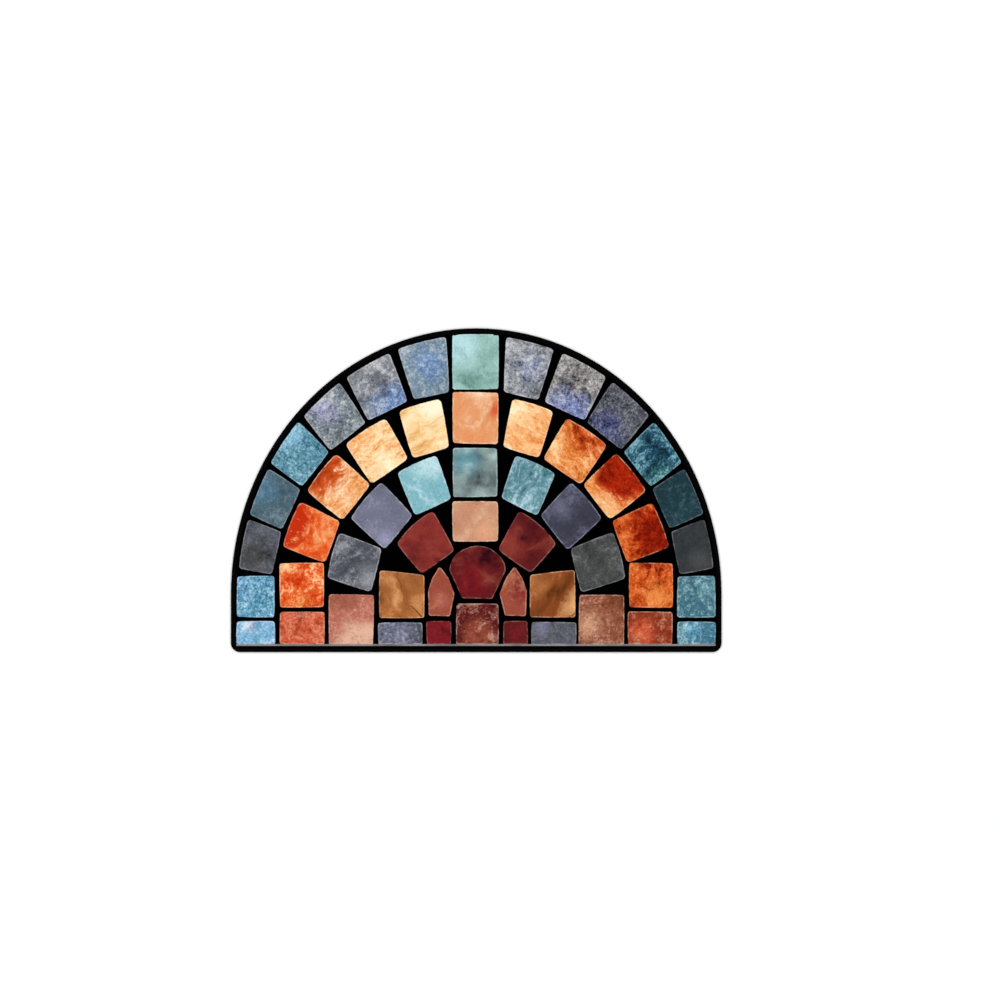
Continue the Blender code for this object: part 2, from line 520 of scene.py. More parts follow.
OUTLINE_FADE = (-0.00020, 0.00045)         # metres in from the outline, from black to stone
FOOT_LINE_FADE = (0.6, 1.4)                # in half widths, from the line's middle out
FOOT_LINE_WORN = (0.1, 0.6)
FIBRE_PAINTED_SHADE = 0.95                         # painted shade: share of the print's colour left on average, for the shade between the fibres
FIBRE_BUMP = (0.35, 0.0003)                # strength, and depth in metres
GRAIN_BUMP = (0.25, 0.0002)
RUBBER_PATCHES = 0.06                      # how much the rubber's roughness differs
PILE_ROUGHNESS = 0.95
RUBBER_SHINE = 0.02


class DoormatSizes(bpy.types.PropertyGroup):
    """Sizes of the pile and of the print."""

    tuft_pitch: FloatProperty(
        name="Tuft Pitch",
        description="Distance from one tuft of the pile to the next",
        default=0.00186,
        min=0.001,
        unit="LENGTH",
    )
    tuft_height: FloatProperty(
        name="Tuft Height",
        description="Height of a tuft from its foot, which is sunk a little in the cloth",
        default=0.0013,
        min=0.0002,
        unit="LENGTH",
    )
    tuft_width: FloatProperty(
        name="Tuft Width",
        description="Width of a tuft's foot from corner to corner, in pitches",
        default=2.0,
        min=0.5,
    )
    tuft_lean: FloatProperty(
        name="Tuft Lean",
        description="The most that a tuft leans along X and along Y",
        default=radians(11),
        subtype="ANGLE",
    )
    tuft_spread: FloatProperty(
        name="Tuft Spread",
        description="The most that a tuft stands off its place in the rows, along X and along Y",
        default=0.00035,
        unit="LENGTH",
    )
    block_corner: FloatProperty(
        name="Block Corner",
        description="Radius of the rounded corners of the straight blocks, at the crown and the foot",
        default=0.0028,
        unit="LENGTH",
    )
    block_unevenness: FloatProperty(
        name="Block Unevenness",
        description="The most that a block's corner is off its regular place, along X and along Y",
        default=0.0007,
        unit="LENGTH",
    )
    pale_edge: FloatProperty(
        name="Pale Edge",
        description="Width of the pale line printed round each block",
        default=0.0012,
        unit="LENGTH",
    )
    seed: IntProperty(
        name="Seed",
        description="Start of the random unevenness of the tufts and blocks",
        default=RANDOM_SEED,
    )


class DoormatColours(bpy.types.PropertyGroup):
    """Colours that don't come from the stones' dyes."""

    joint: FloatVectorProperty(
        name="Joint",
        description="Black printed between the blocks",
        default=display(2, 1, 2),
        subtype="COLOR",
    )
    foot_line: FloatVectorProperty(
        name="Foot Line",
        description="Pale grey line printed along the foot",
        default=display(150, 146, 146),
        subtype="COLOR",
    )
    rubber: FloatVectorProperty(
        name="Rubber",
        description="The moulded rubber of the backing and its rim",
        default=display(3, 3, 4),
        subtype="COLOR",
    )
    floor: FloatVectorProperty(
        name="Floor",
        description="The plain floor of the stage",
        default=(0.90, 0.90, 0.90),
        subtype="COLOR",
    )


class DoormatDye(bpy.types.PropertyGroup):
    """One dye of the print; its name is the item's name."""

    colour: FloatVectorProperty(
        name="Colour",
        description="How the dye looks on the pile",
        default=(0.5, 0.5, 0.5),
        subtype="COLOR",
    )


class Wiring:
    """Adds nodes to a tree, row by row, and joins their sockets."""

    ROW = 8
    STEP_X = 220
    STEP_Y = 320

    def __init__(self, tree):
        self.tree = tree
        self.count = 0

    def node(self, kind, inputs=None, **settings):
        """A node with these settings; an input is a value or the socket that feeds it."""
        made = self.tree.nodes.new(kind)
        made.location = (self.count % self.ROW * self.STEP_X, -(self.count // self.ROW) * self.STEP_Y)
        self.count += 1
        for name, value in settings.items():
            setattr(made, name, value)
        for key, value in (inputs or {}).items():
            self.feed(made.inputs[key], value)
        return made

    def feed(self, socket, value):
        if isinstance(value, bpy.types.NodeSocket):
            self.tree.links.new(value, socket)
        else:
            socket.default_value = value

    def math(self, operation, *values, clamp=False):
        made = self.node("ShaderNodeMath", dict(enumerate(values)), operation=operation, use_clamp=clamp)
        return made.outputs[0]

    def vector(self, operation, first, second):
        return self.node("ShaderNodeVectorMath", {0: first, 1: second}, operation=operation).outputs[0]

    def scale(self, vector, factor):
        inputs = {0: vector, "Scale": factor}
        return self.node("ShaderNodeVectorMath", inputs, operation="SCALE").outputs[0]

    def split(self, vector):
        return self.node("ShaderNodeSeparateXYZ", {0: vector}).outputs

    def blend(self, share, first, second, how="MIX"):
        inputs = {0: share, 6: first, 7: second}
        return self.node("ShaderNodeMix", inputs, data_type="RGBA", blend_type=how).outputs[2]

    def rise(self, value, low, high):
        """From 0 where value is low to 1 where it is high, smoothly; low is the smaller."""
        inputs = {"Value": value, "From Min": low, "From Max": high}
        return self.node("ShaderNodeMapRange", inputs, interpolation_type="SMOOTHSTEP").outputs[0]

    def fall(self, value, low, high):
        """From 1 where value is low to 0 where it is high, smoothly."""
        return self.math("SUBTRACT", 1.0, self.rise(value, low, high))

    def noise(self, place, grain, detail, roughness, wave=0.0):
        """Noise whose blobs are about grain metres wide; another wave gives other blobs."""
        inputs = {
            "Vector": place,
            "W": wave,
            "Scale": 1 / grain,
            "Detail": detail,
            "Roughness": roughness,
        }
        return self.node("ShaderNodeTexNoise", inputs, noise_dimensions="4D")

    def about_zero(self, noise):
        """A noise's value, spread to about -1 to 1."""
        return self.math("MULTIPLY", self.math("SUBTRACT", noise.outputs[0], 0.5), 4.0)

    def bump(self, strength, depth, height):
        """The normal of a surface on which a height of 1 is depth metres."""
        inputs = {"Strength": strength, "Distance": depth, "Height": height}
        return self.node("ShaderNodeBump", inputs).outputs[0]


COLOUR = "NodeSocketColor"
VALUE = "NodeSocketFloat"
VECTOR = "NodeSocketVector"


def new_group(name, kind, inputs, outputs):
    """A node group with these sockets, each given as name, socket type and default or None."""
    tree = bpy.data.node_groups.new(name, kind)
    for side, sockets in (("INPUT", inputs), ("OUTPUT", outputs)):
        for socket_name, socket_type, default in sockets:
            socket = tree.interface.new_socket(socket_name, in_out=side, socket_type=socket_type)
            if default is not None:
                socket.default_value = default
    add = Wiring(tree)
    return tree, add, add.node("NodeGroupInput").outputs


def shared_group(build, name):
    """The group of that name, built the first time it is asked for."""
    return bpy.data.node_groups.get(name) or build(name)


def marbled_stone_group(name):
    """Shader group: the cloudy, mottled, speckled and veined print inside one block."""
    inputs = [
        ("Place", VECTOR, None),
        ("Stone Place", VECTOR, None),
        ("Light", COLOUR, (1, 1, 1, 1)),
        ("Body", COLOUR, (0.5, 0.5, 0.5, 1)),
        ("Dark", COLOUR, (0.1, 0.1, 0.1, 1)),
        ("Tint", COLOUR, (0.5, 0.5, 0.5, 1)),
        ("Tint Middle", VECTOR, None),
        ("Tint Radius", VALUE, 0.0),
        ("Dark Middle", VECTOR, None),
        ("Dark Radius", VALUE, 0.0),
        ("Pale Middle", VECTOR, None),
        ("Pale Radius", VALUE, 0.0),
        ("Clouds", VALUE, 0.5),
        ("Mottle", VALUE, 0.5),
        ("Speckle", VALUE, 0.5),
        ("Streak Turn", VALUE, 0.0),
        ("Streak Length", VALUE, 1.0),
        ("Veins", VALUE, 0.0),
        ("Pale Edge", VALUE, 0.0013),
        ("Edge Strength", VALUE, 0.5),
        ("Wave", VALUE, 0.0),
    ]
    tree, add, given = new_group(name, "ShaderNodeTree", inputs, [("Color", COLOUR, None)])
    place = given["Place"]
    wave = given["Wave"]
    turned = add.node(
        "ShaderNodeVectorRotate",
        {"Vector": place, "Angle": add.math("MULTIPLY", given["Streak Turn"], -1.0)},
        rotation_type="Z_AXIS",
    )
    drawn = add.split(turned.outputs[0])
    along = add.math("DIVIDE", drawn[0], given["Streak Length"])
    drawn_out = add.node("ShaderNodeCombineXYZ", {0: along, 1: drawn[1], 2: 0.0}).outputs[0]
    swirl = add.vector("SUBTRACT", add.noise(place, *SWIRL, wave).outputs[1], (0.5, 0.5, 0.5))
    bend = add.vector("MULTIPLY", swirl, (SWIRL_BEND, SWIRL_BEND, 0.0))
    bent = add.vector("ADD", drawn_out, bend)
    clouds = add.about_zero(add.noise(bent, *CLOUDS, wave))
    mottle = add.about_zero(add.noise(bent, *MOTTLE, wave))
    speckle = add.about_zero(add.noise(place, *SPECKLE, wave))
    tone = add.math("MULTIPLY", clouds, add.math("MULTIPLY", given["Clouds"], CLOUD_TONE))
    tone = add.math("ADD", tone, add.math("MULTIPLY", mottle, given["Mottle"]))
    speckled = add.math("MULTIPLY", speckle, add.math("MULTIPLY", given["Speckle"], SPECKLE_TONE))
    tone = add.math("ADD", tone, speckled)
    tone = add.math("SUBTRACT", tone, TONE_SET_BACK)
    frayed = add.math("MULTIPLY", clouds, PATCH_CLOUDS)
    ragged = add.math("ADD", frayed, add.math("MULTIPLY", mottle, PATCH_MOTTLE))

    def patch(side):
        """1 inside a round patch of the block, fading to 0 over its ragged edge."""
        across = add.vector("MULTIPLY", given["Stone Place"], (1, 1, 0))
        away = add.node("ShaderNodeVectorMath", {0: across, 1: given[side + " Middle"]}, operation="DISTANCE")
        beyond = add.math("SUBTRACT", away.outputs["Value"], given[side + " Radius"])
        shown = add.math("GREATER_THAN", given[side + " Radius"], 0.0)
        return add.math("MULTIPLY", add.fall(add.math("ADD", beyond, ragged), *PATCH_FADE), shown)

    tone = add.math("SUBTRACT", tone, add.math("MULTIPLY", patch("Dark"), PATCH_DARKER))
    tone = add.math("ADD", tone, add.math("MULTIPLY", patch("Pale"), PATCH_PALER))
    middle = add.blend(patch("Tint"), given["Body"], given["Tint"])
    lit = add.blend(add.math("MULTIPLY", tone, 1.0, clamp=True), middle, given["Light"])
    shaded = add.blend(add.math("MULTIPLY", tone, -1.0, clamp=True), lit, given["Dark"])

    line = add.noise(bent, *VEINS, wave)
    off_line = add.math("ABSOLUTE", add.math("SUBTRACT", line.outputs[0], 0.5))
    in_line = add.fall(off_line, 0.0, VEIN_HALF_WIDTH)
    vein = add.math("MULTIPLY", in_line, add.rise(clouds, *VEIN_CLOUDS))
    veined = add.blend(add.math("MULTIPLY", vein, given["Veins"]), shaded, given["Dark"])

    edge = add.math("DIVIDE", add.split(given["Stone Place"])[2], given["Pale Edge"])
    worn = add.rise(add.noise(place, *EDGE_WEAR, wave).outputs[0], *EDGE_WORN)
    strength = add.math("MULTIPLY", worn, given["Edge Strength"])
    rim = add.math("MULTIPLY", add.fall(edge, *EDGE_FADE), strength)
    pale = add.blend(EDGE_WHITER, given["Light"], (1, 1, 1, 1))
    add.node("NodeGroupOutput", {0: add.blend(rim, veined, pale)})
    return tree


def blocks_on_black_group(name):
    """Shader group: the black that the blocks stand in, and the pale line along the foot."""
    inputs = [
        ("Place", VECTOR, None),
        ("Edge Distance", VALUE, -1.0),
        ("Stone", COLOUR, (1, 1, 1, 1)),
        ("Joint", COLOUR, (0, 0, 0, 1)),
        ("Foot Line", COLOUR, (0.5, 0.5, 0.5, 1)),
    ]
    tree, add, given = new_group(name, "ShaderNodeTree", inputs, [("Color", COLOUR, None)])
    place = add.split(given["Place"])
    middle = FOOT_Y + (FOOT_LINE_LOW + FOOT_LINE_HIGH) / 2
    half = (FOOT_LINE_HIGH - FOOT_LINE_LOW) / 2
    off_line = add.math("ABSOLUTE", add.math("SUBTRACT", place[1], middle))
    before_end = add.math("LESS_THAN", add.math("ABSOLUTE", place[0]), FOOT_LINE_HALF_LENGTH)
    fade = [half * share for share in FOOT_LINE_FADE]
    in_line = add.math("MULTIPLY", add.fall(off_line, *fade), before_end)
    worn = add.rise(add.noise(given["Place"], *FOOT_LINE_WEAR).outputs[0], *FOOT_LINE_WORN)
    black = add.blend(add.math("MULTIPLY", in_line, worn), given["Joint"], given["Foot Line"])

    wobble = add.about_zero(add.noise(given["Place"], *OUTLINE_WOBBLE))
    edge = add.math("ADD", given["Edge Distance"], add.math("MULTIPLY", wobble, OUTLINE_WANDER))
    inside = add.rise(edge, *OUTLINE_FADE)
    add.node("NodeGroupOutput", {0: add.blend(inside, black, given["Stone"])})
    return tree


def pile_fibres_group(name):
    """Shader group: the fine fibres of the tufts, as a height and a painted shade for the shade between
    fibres, varying from strand to strand.
    """
    inputs = [("Place", VECTOR, None), ("Fibre", VALUE, 0.0004), ("Depth", VALUE, 0.12)]
    outputs = [("Height", VALUE, None), ("Shade", VALUE, None)]
    tree, add, given = new_group(name, "ShaderNodeTree", inputs, outputs)
    finer = add.scale(given["Place"], add.math("DIVIDE", 1.0, given["Fibre"]))
    strands = add.noise(finer, *STRANDS).outputs[0]
    # painted shade between the fibres: darker on average, varying with the strands' noise
    shade = add.math("MULTIPLY", add.math("SUBTRACT", strands, 0.5), given["Depth"])
    add.node("NodeGroupOutput", {0: strands, 1: add.math("ADD", FIBRE_PAINTED_SHADE, shade)})
    return tree


def moulded_grain_group(name):
    """Shader group: the fine grain of moulded rubber, as a height and a roughness."""
    inputs = [("Place", VECTOR, None), ("Grain", VALUE, 0.0006), ("Roughness", VALUE, 0.6)]
    outputs = [("Height", VALUE, None), ("Roughness", VALUE, None)]
    tree, add, given = new_group(name, "ShaderNodeTree", inputs, outputs)
    finer = add.scale(given["Place"], add.math("DIVIDE", 1.0, given["Grain"]))
    grain = add.noise(finer, *MOULD_GRAIN).outputs[0]
    clouds = add.about_zero(add.noise(given["Place"], *RUBBER_CLOUDS))
    change = add.math("MULTIPLY", clouds, RUBBER_PATCHES)
    rough = add.math("ADD", given["Roughness"], change, clamp=True)
    add.node("NodeGroupOutput", {0: grain, 1: rough})
    return tree


def new_material(name):
    """A material, a wiring that adds nodes to it, its shader and the place on the piece."""
    material = bpy.data.materials.new(name)
    material.use_nodes = True
    add = Wiring(material.node_tree)
    place = add.node("ShaderNodeTexCoord").outputs["Object"]
    return material, add, material.node_tree.nodes["Principled BSDF"], place


def opaque(colour):
    """A colour with full alpha."""
    return (*colour, 1)


def print_on_pile(add, shader, place, edge, stone, colours):
    """Send the print's colour, darkened by the fibres' painted shade, to the shader of a short matt pile."""
    group = shared_group(blocks_on_black_group, "Blocks On Black")
    inputs = {
        "Place": place,
        "Edge Distance": edge,
        "Stone": stone,
        "Joint": opaque(colours.joint),
        "Foot Line": opaque(colours.foot_line),
    }
    printed = add.node("ShaderNodeGroup", inputs, node_tree=group).outputs[0]
    group = shared_group(pile_fibres_group, "Pile Fibres")
    fibres = add.node("ShaderNodeGroup", {"Place": place}, node_tree=group).outputs
    # the fibres' painted shade, multiplied into the print's colour
    shade = add.node("ShaderNodeCombineColor", {0: fibres[1], 1: fibres[1], 2: fibres[1]}).outputs[0]
    add.feed(shader.inputs["Base Color"], add.blend(1.0, printed, shade, how="MULTIPLY"))
    add.feed(shader.inputs["Normal"], add.bump(*FIBRE_BUMP, fibres[0]))
    shader.inputs["Roughness"].default_value = PILE_ROUGHNESS
    shader.inputs["Specular IOR Level"].default_value = 0.0


def stone_material(scene, finish_name):
    """The pile's material where it is printed as one kind of stone."""
    finish = FINISHES[finish_name]
    dyes = scene.doormat_dyes
    material, add, shader, place = new_material("pile_" + finish_name)
    stone_place = add.node("ShaderNodeAttribute", attribute_name="stone_place").outputs["Vector"]
    inputs = {
        "Place": place,
        "Stone Place": stone_place,
        "Light": opaque(dyes[finish.light].colour),
        "Body": opaque(dyes[finish.body].colour),
        "Dark": opaque(dyes[finish.dark].colour),
        "Tint": opaque(dyes[finish.tint].colour),
        "Tint Middle": (*finish.tinted[:2], 0),
        "Tint Radius": finish.tinted[2],
        "Dark Middle": (*finish.darkened[:2], 0),
        "Dark Radius": finish.darkened[2],
        "Pale Middle": (*finish.paled[:2], 0),
        "Pale Radius": finish.paled[2],
        "Clouds": finish.grain[0],
        "Mottle": finish.grain[1],
        "Speckle": finish.grain[2],
        "Streak Turn": radians(finish.streak[0]),
        "Streak Length": finish.streak[1],
        "Veins": finish.veins,
        "Pale Edge": scene.doormat_sizes.pale_edge,
        "Edge Strength": finish.edge,
        "Wave": float(list(FINISHES).index(finish_name)),
    }
    group = shared_group(marbled_stone_group, "Marbled Stone")
    stone = add.node("ShaderNodeGroup", inputs, node_tree=group).outputs[0]
    edge = add.split(stone_place)[2]
    print_on_pile(add, shader, place, edge, stone, scene.doormat_colours)
    return material


def joint_material(scene):
    """The pile's material where it is printed black, between and round the blocks."""
    material, add, shader, place = new_material("pile_joint")
    colours = scene.doormat_colours
    print_on_pile(add, shader, place, -1.0, opaque(colours.joint), colours)
    return material


def rubber_material(scene):
    """Moulded matt black rubber."""
    material, add, shader, place = new_material("moulded_rubber")
    group = shared_group(moulded_grain_group, "Moulded Grain")
    grain = add.node("ShaderNodeGroup", {"Place": place}, node_tree=group).outputs
    add.feed(shader.inputs["Normal"], add.bump(*GRAIN_BUMP, grain[0]))
    add.feed(shader.inputs["Roughness"], grain[1])
    shader.inputs["Base Color"].default_value = opaque(scene.doormat_colours.rubber)
    shader.inputs["Specular IOR Level"].default_value = RUBBER_SHINE
    return material


def arch_radius(angle, inset):
    """Distance to the mat's arch, drawn in by inset, at an angle in radians from the crown."""
    across = sin(angle) / (HALF_WIDTH - inset)
    upward = cos(angle) / (ARCH_RISE - inset)
    return 1 / hypot(across, upward)


def outline_points(inset):
    """The mat's outline drawn in by inset, anticlockwise from the foot's right corner."""
    half_width = HALF_WIDTH - inset
    corner = FOOT_CORNER - inset
    corner_y = FOOT_Y + inset + corner
    right = []
    for step in range(CORNER_STEPS + 1):
        angle = pi / 2 * step / CORNER_STEPS
        right.append((half_width - corner + corner * sin(angle), corner_y - corner * cos(angle)))
    arch = []
    for step in range(ARCH_STEPS + 1):
        angle = pi * step / ARCH_STEPS
        arch.append((half_width * cos(angle), SPRING_Y + (ARCH_RISE - inset) * sin(angle)))
    return right + arch + mirrored(right)


def draw_in(corners, distance):
    """The corners of an anticlockwise outline, each moved in so that its sides move by distance."""
    corners = np.array(corners, float)
    before = corners - np.roll(corners, 1, axis=0)
    after = np.roll(corners, -1, axis=0) - corners
    sides = []
    for edges in (before, after):
        edges /= np.hypot(*edges.T)[:, None]
        sides.append(np.stack([-edges[:, 1], edges[:, 0]], axis=1))
    both = sides[0] + sides[1]
    turned = 1 + (sides[0] * sides[1]).sum(axis=1)
    return corners + distance * both / turned[:, None]


def bow_out(corners, bows):
    """An outline whose sides swell outwards between its corners, each by its own bow."""
    points = []
    for start, end, bow in zip(corners, np.roll(corners, -1, axis=0), bows):
        side = end - start
        outward = np.array([side[1], -side[0]]) / np.hypot(*side)
        for step in range(BOW_STEPS):
            share = step / BOW_STEPS
            points.append(start + side * share + outward * bow * 4 * share * (1 - share))
    return np.array(points)


Stone = namedtuple("Stone", "name finish core corner centre reach")


def make_stone(name, finish, corners, rounding, sizes, random, bows=None):
    """A printed block from its corners: the outline that is left when its rounding is taken off."""
    corners = np.array(corners, float)
    corners += random.uniform(-1, 1, corners.shape) * sizes.block_unevenness
    centre = corners.mean(axis=0)
    reach = (corners.max(axis=0) - corners.min(axis=0)).mean() / 2
    core = draw_in(corners, rounding + INK_SHORT)
    if bows is not None:
        core = bow_out(core, bows)
    return Stone(name, finish, core, rounding, centre, reach)


def straight_stone(name, finish, corners, sizes, random):
    """A block of the crown or the foot, with the corners that these share."""
    return make_stone(name, finish, corners, sizes.block_corner, sizes, random, EVEN_BOWS)


def ring_corners(ring, index, side):
    """The four corners of a ring's block, and how far its outer side swells; side is -1 or 1."""
    angle = side * radians(ring.first + ring.step * index)
    lean = side * radians(ring.lean)
    slant = side * ring.slant
    inner = ring.inner + ring.growth[0] * index
    outer = None if ring.outer is None else ring.outer + ring.growth[1] * index
    reach = outer or arch_radius(angle, BLOCK_MARGIN)
    inner_width, outer_width = ring.widths
    if index == 0:
        inner_width -= ring.narrower[0]
        outer_width -= ring.narrower[1]
    inner_half = asin(inner_width / 2 / inner)
    outer_half = asin(outer_width / 2 / reach)
    corners = []
    for turned, radius in (
        (angle + lean - inner_half, inner - slant),
        (angle + lean + inner_half, inner + slant),
        (angle - lean + outer_half, outer),
        (angle - lean - outer_half, outer),
    ):
        radius = radius or arch_radius(turned, BLOCK_MARGIN)
        corners.append((radius * sin(turned), SPRING_Y + radius * cos(turned)))
    return corners, outer_width ** 2 / (8 * reach) * RING_BOW


def box_corners(left, right, bottom, top):
    """The four corners of an upright block, anticlockwise."""
    return [(left, bottom), (right, bottom), (right, top), (left, top)]


def mirrored(corners):
    """The same outline on the other side of the middle line, still anticlockwise."""
    return [(-x, y) for x, y in reversed(corners)]


def shifted(corners):
    """An outline of the middle of the mat, moved to where it is printed."""
    return [(x + MIDDLE_SHIFT, y) for x, y in corners]


def ring_stones(sizes, random):
    """The wedge-shaped blocks of the four arches, on both sides of the crown."""
    stones = []
    for ring in RINGS:
        for index, finishes in enumerate(ring.finishes):
            for side, way, finish in zip(("left", "right"), (-1, 1), finishes):
                corners, bow = ring_corners(ring, index, way)
                bows = (SIDE_BOW, SIDE_BOW, bow, SIDE_BOW)
                name = f"{ring.name}_{side}_{index + 1}"
                stones.append(make_stone(name, finish, corners, ring.corner, sizes, random, bows))
    return stones


def crown_stones(sizes, random):
    """The square blocks on the middle line."""
    stones = []
    for block in CROWN_BLOCKS:
        top = block.top or ARCH_RISE - BLOCK_MARGIN
        left = CROWN_SHIFT - block.half_width
        right = CROWN_SHIFT + block.half_width
        corners = box_corners(left, right, SPRING_Y + block.bottom, SPRING_Y + top)
        stones.append(straight_stone(block.name, block.finish, corners, sizes, random))
    return stones


def foot_stones(sizes, random):
    """The straight courses along the foot. Those on the pale line run under it, and so end square."""
    foot = FOOT_Y + FOOT_LINE_HIGH - sizes.block_corner
    stones = []
    for block in FOOT_BLOCKS + MIDDLE_FOOT_BLOCKS:
        bottom = foot if block.bottom is None else SPRING_Y + block.bottom
        right = box_corners(block.inner, block.outer, bottom, SPRING_Y + block.top)
        right[3] = (block.inner, SPRING_Y + block.top - block.fall)
        left = mirrored(right)
        if block in MIDDLE_FOOT_BLOCKS:
            left = shifted(left)
            right = shifted(right)
        for side, finish, corners in (("left", block.left, left), ("right", block.right, right)):
            stones.append(straight_stone(f"{block.name}_{side}", finish, corners, sizes, random))
    width = MIDDLE_FOOT_HALF_WIDTH
    corners = shifted(box_corners(-width, width, foot, SPRING_Y + MIDDLE_FOOT_TOP))
    stones.append(straight_stone("middle_foot", "rose_quartz", corners, sizes, random))
    return stones


def centre_stones(sizes, random):
    """The domed block at the middle and the pointed block on each side of it."""
    half_foot, foot = DOME_FOOT
    dome = [(-half_foot, SPRING_Y + foot), (half_foot, SPRING_Y + foot)]
    for step in range(DOME_STEPS + 1):
        angle = pi * step / DOME_STEPS
        height = DOME_SHOULDER + DOME_RISE * sin(angle)
        dome.append((DOME_HALF_WIDTH * cos(angle), SPRING_Y + height))
    lancet = [(x, SPRING_Y + y) for x, y in LANCET]
    return [
        make_stone("dome", "wine_dome", shifted(dome), LANCET_CORNER, sizes, random),
        make_stone("lancet_left", "salmon_stone", shifted(mirrored(lancet)), LANCET_CORNER, sizes, random),
        make_stone("lancet_right", "salmon_shade", shifted(lancet), LANCET_CORNER, sizes, random),
    ]


def lay_out_stones(sizes):
    """Every printed block of the mat."""
    random = np.random.default_rng(sizes.seed)
    stones = ring_stones(sizes, random)
    stones += crown_stones(sizes, random)
    stones += foot_stones(sizes, random)
    stones += centre_stones(sizes, random)
    return stones


def distance_inside(points, outline):
    """Distance from each point to a convex anticlockwise outline, positive inside it."""
    nearest = np.full(len(points), np.inf)
    inside = np.ones(len(points), bool)
    for start, end in zip(outline, np.roll(outline, -1, axis=0)):
        side = end - start
        offset = points - start
        along = np.clip(offset @ side / (side @ side), 0, 1)
        nearest = np.minimum(nearest, np.hypot(*(offset - along[:, None] * side).T))
        inside &= side[0] * offset[:, 1] - side[1] * offset[:, 0] >= 0
    return np.where(inside, nearest, -nearest)


def stone_distance(points, stone):
    """Distance from each point to a block's rounded outline, positive inside; level at the foot."""
    distance = distance_inside(points, stone.core) + stone.corner
    return np.minimum(distance, points[:, 1] - (FOOT_Y + FOOT_LINE_HIGH))


def tuft_places(pitch):
    """The tufts' places in staggered rows over the face, in from the cloth's edge."""
    outline = np.array(outline_points(RIM_WIDTH + FACE_INSET))
    low = outline.min(axis=0)
    high = outline.max(axis=0)
    rise = pitch * sqrt(3) / 2
    rows = ceil((high[1] - low[1]) / rise) + 1
    columns = ceil((high[0] - low[0]) / pitch) + 2
    row, column = np.mgrid[0:rows, 0:columns]
    x = low[0] + (column - 0.5 * (row % 2)) * pitch
    y = low[1] + row * rise
    points = np.stack([x.ravel(), y.ravel()], axis=1)
    return points[distance_inside(points, outline) >= 0]


def share_out(points, stones):
    """For each tuft the number of the block that it belongs to, or -1 in the joints."""
    owner = np.full(len(points), -1)
    best = np.full(len(points), -TUFT_OVERHANG)
    for number, stone in enumerate(stones):
        close = np.abs(points - stone.centre).max(axis=1) < NEARBY * stone.reach
        distance = stone_distance(points[close], stone)
        nearer = distance > best[close]
        chosen = np.flatnonzero(close)[nearer]
        best[chosen] = distance[nearer]
        owner[chosen] = number
    return owner


def pile_tufts_tree(name):
    """Geometry Nodes: stands a tuft on each point, uneven, turned and leaning a little."""
    inputs = [
        ("Geometry", "NodeSocketGeometry", None),
        ("Tuft Width", VALUE, 0.003),
        ("Tuft Height", VALUE, 0.0013),
        ("Swell", VALUE, TUFT_SWELL),
        ("Spread", VALUE, 0.0003),
        ("Lean", VALUE, 0.2),
        ("Size Change", VALUE, TUFT_SIZE_CHANGE),
        ("Seed", "NodeSocketInt", 0),
        ("Material", "NodeSocketMaterial", None),
    ]
    outputs = [("Geometry", "NodeSocketGeometry", None)]
    tree, add, given = new_group(name, "GeometryNodeTree", inputs, outputs)
    tree.is_modifier = True

    half_width = add.math("DIVIDE", given["Tuft Width"], 2.0)
    cone_inputs = {
        "Vertices": TUFT_SIDES,
        "Side Segments": 2,
        "Fill Segments": 1,
        "Radius Top": 0.0,
        "Radius Bottom": half_width,
        "Depth": given["Tuft Height"],
    }
    cone = add.node("GeometryNodeMeshCone", cone_inputs, fill_type="NGON")
    position = add.node("GeometryNodeInputPosition").outputs[0]
    part = add.split(position)
    height = add.math("DIVIDE", part[2], given["Tuft Height"])
    hump = add.math("MULTIPLY", height, add.math("SUBTRACT", 1.0, height))
    hump = add.math("MULTIPLY", hump, 4.0)
    wider = add.math("ADD", 1.0, add.math("MULTIPLY", hump, given["Swell"]))
    wider_x = add.math("MULTIPLY", part[0], wider)
    wider_y = add.math("MULTIPLY", part[1], wider)
    moved = add.node("ShaderNodeCombineXYZ", {0: wider_x, 1: wider_y, 2: part[2]}).outputs[0]
    tuft = add.node("GeometryNodeSetPosition", {"Geometry": cone.outputs[0], "Position": moved})
    smooth = add.node("GeometryNodeSetShadeSmooth", {"Geometry": tuft.outputs[0]})

    def random(low, high, shift):
        """A vector that differs from tuft to tuft."""
        seed = add.math("ADD", given["Seed"], float(shift))
        made = add.node("FunctionNodeRandomValue", {0: low, 1: high}, data_type="FLOAT_VECTOR")
        add.feed(made.inputs["Seed"], seed)
        return made.outputs[0]

    spread = add.scale(random((-1, -1, 0), (1, 1, 0), 1), given["Spread"])
    places = add.node("GeometryNodeSetPosition", {"Geometry": given["Geometry"], "Offset": spread})
    lean = add.scale(random((-1, -1, 0), (1, 1, 0), 2), given["Lean"])
    turn = add.vector("ADD", lean, random((0, 0, 0), (0, 0, pi), 3))
    change = add.scale(random((-1, -1, -1), (1, 1, 1), 4), given["Size Change"])
    scale = add.vector("ADD", change, (1, 1, 1))
    stood = add.node(
        "GeometryNodeInstanceOnPoints",
        {"Points": places.outputs[0], "Instance": smooth.outputs[0], "Rotation": turn, "Scale": scale},
    )
    real = add.node("GeometryNodeRealizeInstances", {"Geometry": stood.outputs[0]})
    shown = {"Geometry": real.outputs[0], "Material": given["Material"]}
    finished = add.node("GeometryNodeSetMaterial", shown)
    add.node("NodeGroupOutput", {0: finished.outputs[0]})
    return tree


def set_inputs(modifier, values):
    """Set a Geometry Nodes modifier's inputs by their names in the tree."""
    for item in modifier.node_group.interface.items_tree:
        if item.in_out == "INPUT" and item.name in values:
            modifier[item.identifier] = values[item.name]


